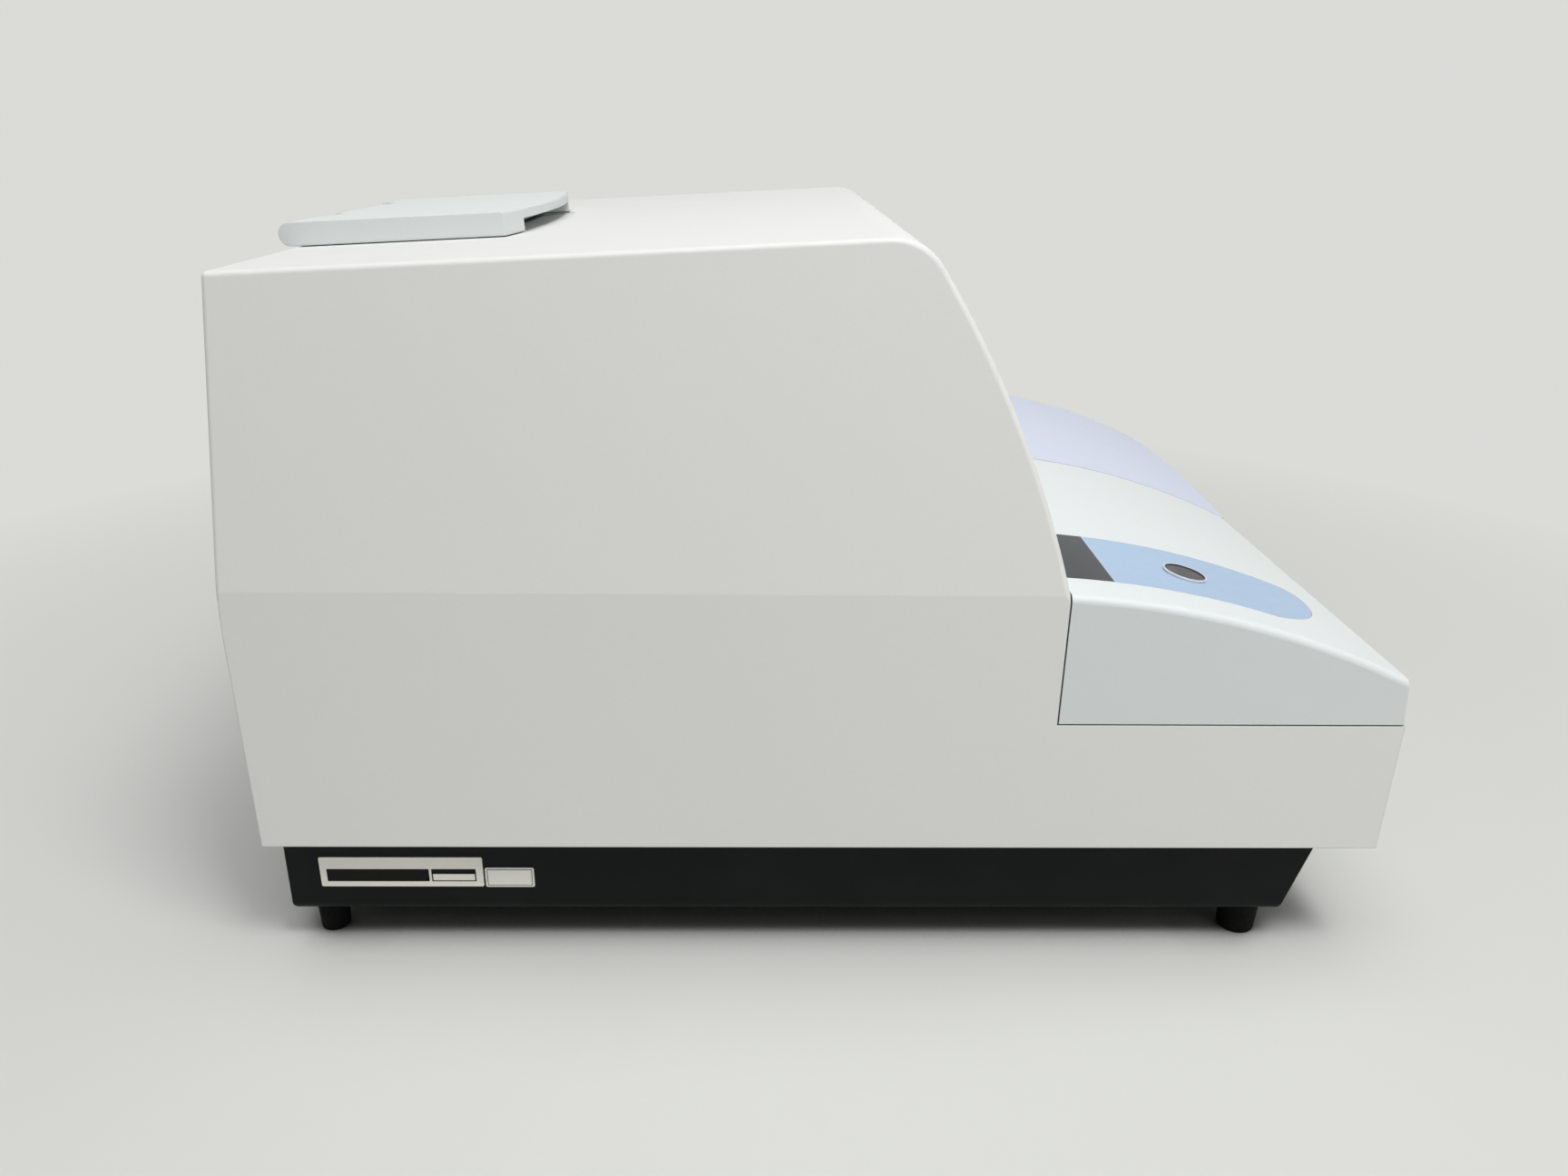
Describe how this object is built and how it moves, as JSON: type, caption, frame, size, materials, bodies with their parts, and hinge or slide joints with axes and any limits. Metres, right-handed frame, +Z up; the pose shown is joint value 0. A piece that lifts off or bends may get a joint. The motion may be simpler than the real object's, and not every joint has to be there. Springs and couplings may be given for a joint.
{
  "type": "microplate reader",
  "caption": "Bench-top plate reader: deep moulded cover on a black base, low curved hood with a lift-up plate door, hinged lid over a top hatch, and a plate stage with filter optics inside.",
  "frame": {"origin": "on the bench, under the middle of the bounding box", "axes": "+Z up, front with the plate door towards -Y, display panel towards -X, the user's left"},
  "size_m": [0.55, 0.666, 0.4239],
  "materials": {
    "shell_white": "satin moulded shell",
    "hood_grey": "satin moulded shell",
    "door_lilac": "satin moulded door",
    "overlay_blue": "printed film",
    "window_grey": "tinted window",
    "badge_dark": "plain badge",
    "black_paint": "satin black paint",
    "black_plastic": "moulded",
    "rubber": "matt rubber",
    "steel": "ground or plated",
    "anodised": "natural anodised",
    "anodised_black": "black anodised",
    "filter_glass": "coated glass",
    "board_green": "lacquered board",
    "brass": "turned",
    "guide_sheath": "sheathed cable"
  },
  "bodies": {
    "base": {"main_cover": "shell_white", "front_hood": "hood_grey", "display_window": "window_grey", "panel_overlay": "overlay_blue", "round_badge": "badge_dark", "display_module": "black_plastic", "door_brackets": "steel", "door_pins": "steel", "lid_hinge_blocks": "hood_grey", "lid_hinge_pins": "steel", "hatch_gasket": "rubber", "base_tray": "black_paint", "front_feet": "rubber", "rear_feet": "rubber", "foot_screws": "steel", "cover_rails": "black_paint", "rear_panel": "black_paint", "rear_panel_screws": "steel", "mains_inlet": "black_plastic", "switch_bezel": "black_plastic", "interface_ports": "steel", "fan_frame": "black_plastic", "stage_bench": "anodised", "bench_pillars": "steel", "rod_blocks": "anodised", "guide_rods": "steel", "stage_motor": "anodised_black", "light_bulkhead": "black_plastic", "bay_surround": "black_plastic", "optics_deck": "anodised", "deck_columns": "steel", "lens_barrel": "anodised_black", "wheel_motors": "anodised_black", "motor_bracket": "anodised", "detector_bridge": "anodised", "detector_housing": "anodised_black", "lamp_housing": "anodised", "mirror_block": "anodised_black", "light_guide": "guide_sheath", "power_supply": "steel", "control_board": "board_green", "board_standoffs": "brass"},
    "door": {"plate_door": "door_lilac"},
    "lid": {"top_lid": "hood_grey"},
    "carriage": {"carriage": "anodised", "cross_rods": "steel", "cross_motor": "anodised_black"},
    "carrier": {"plate_carrier": "anodised_black"},
    "clamp": {"plate_clamp": "anodised"},
    "stage_screw": {"lead_screw": "steel"},
    "cross_feed_screw": {"cross_screw": "steel"},
    "emission_wheel": {"emission_filter_wheel": "anodised_black", "emission_filters": "filter_glass"},
    "excitation_wheel": {"excitation_filter_wheel": "anodised_black", "excitation_filters": "filter_glass"},
    "fan": {"fan_rotor": "black_plastic"},
    "rocker": {"power_rocker": "black_plastic"},
    "fuse_holder": {"fuse_drawer": "black_plastic"}
  },
  "joints": [
    {"name": "door_hinge", "type": "hinge", "parent": "base", "child": "door", "pos_m": [0.15, -0.134, 0.23464], "axis": [-1, 0, 0], "range_deg": [0, 60]},
    {"name": "lid_hinge", "type": "hinge", "parent": "base", "child": "lid", "pos_m": [-0.013, 0.32071, 0.40943], "axis": [-1, 0, 0], "range_deg": [0, 105]},
    {"name": "stage_slide", "type": "slide", "parent": "base", "child": "carriage", "axis": [0, 1, 0], "range_m": [0, 0.27]},
    {"name": "cross_slide", "type": "slide", "parent": "carriage", "child": "carrier", "axis": [1, 0, 0], "range_m": [-0.0315, 0.0315]},
    {"name": "clamp_pivot", "type": "hinge", "parent": "carrier", "child": "clamp", "pos_m": [0.10221, -0.277, 0.1335], "axis": [0, 0, 1], "range_deg": [0, 12], "stiffness_Nm_per_rad": 0.02},
    {"name": "stage_screw_turn", "type": "hinge", "parent": "base", "child": "stage_screw", "pos_m": [0.15, -0.276, 0.0945], "axis": [0, 1, 0], "range_deg": [-10, 4900]},
    {"name": "cross_screw_turn", "type": "hinge", "parent": "carriage", "child": "cross_feed_screw", "pos_m": [0.15, -0.221, 0.1185], "axis": [1, 0, 0], "range_deg": [-1150, 1150]},
    {"name": "emission_wheel_turn", "type": "hinge", "parent": "base", "child": "emission_wheel", "pos_m": [0.118, -0.01, 0.19], "axis": [0, 0, 1], "continuous": true},
    {"name": "excitation_wheel_turn", "type": "hinge", "parent": "base", "child": "excitation_wheel", "pos_m": [-0.065, 0.199, 0.272], "axis": [0, 1, 0], "continuous": true},
    {"name": "fan_turn", "type": "hinge", "parent": "base", "child": "fan", "pos_m": [0.075, 0.3158, 0.142], "axis": [0, 1, 0], "continuous": true},
    {"name": "rocker_pivot", "type": "hinge", "parent": "base", "child": "rocker", "pos_m": [-0.125, 0.3245, 0.125], "axis": [1, 0, 0], "range_deg": [0, 12]},
    {"name": "fuse_drawer_slide", "type": "slide", "parent": "base", "child": "fuse_holder", "axis": [0, 1, 0], "range_m": [0, 0.014]}
  ],
  "couplings": [
    {"joint": "stage_screw_turn", "follows": "stage_slide", "rad_per_m": 314.16},
    {"joint": "cross_screw_turn", "follows": "cross_slide", "rad_per_m": 628.32}
  ]
}
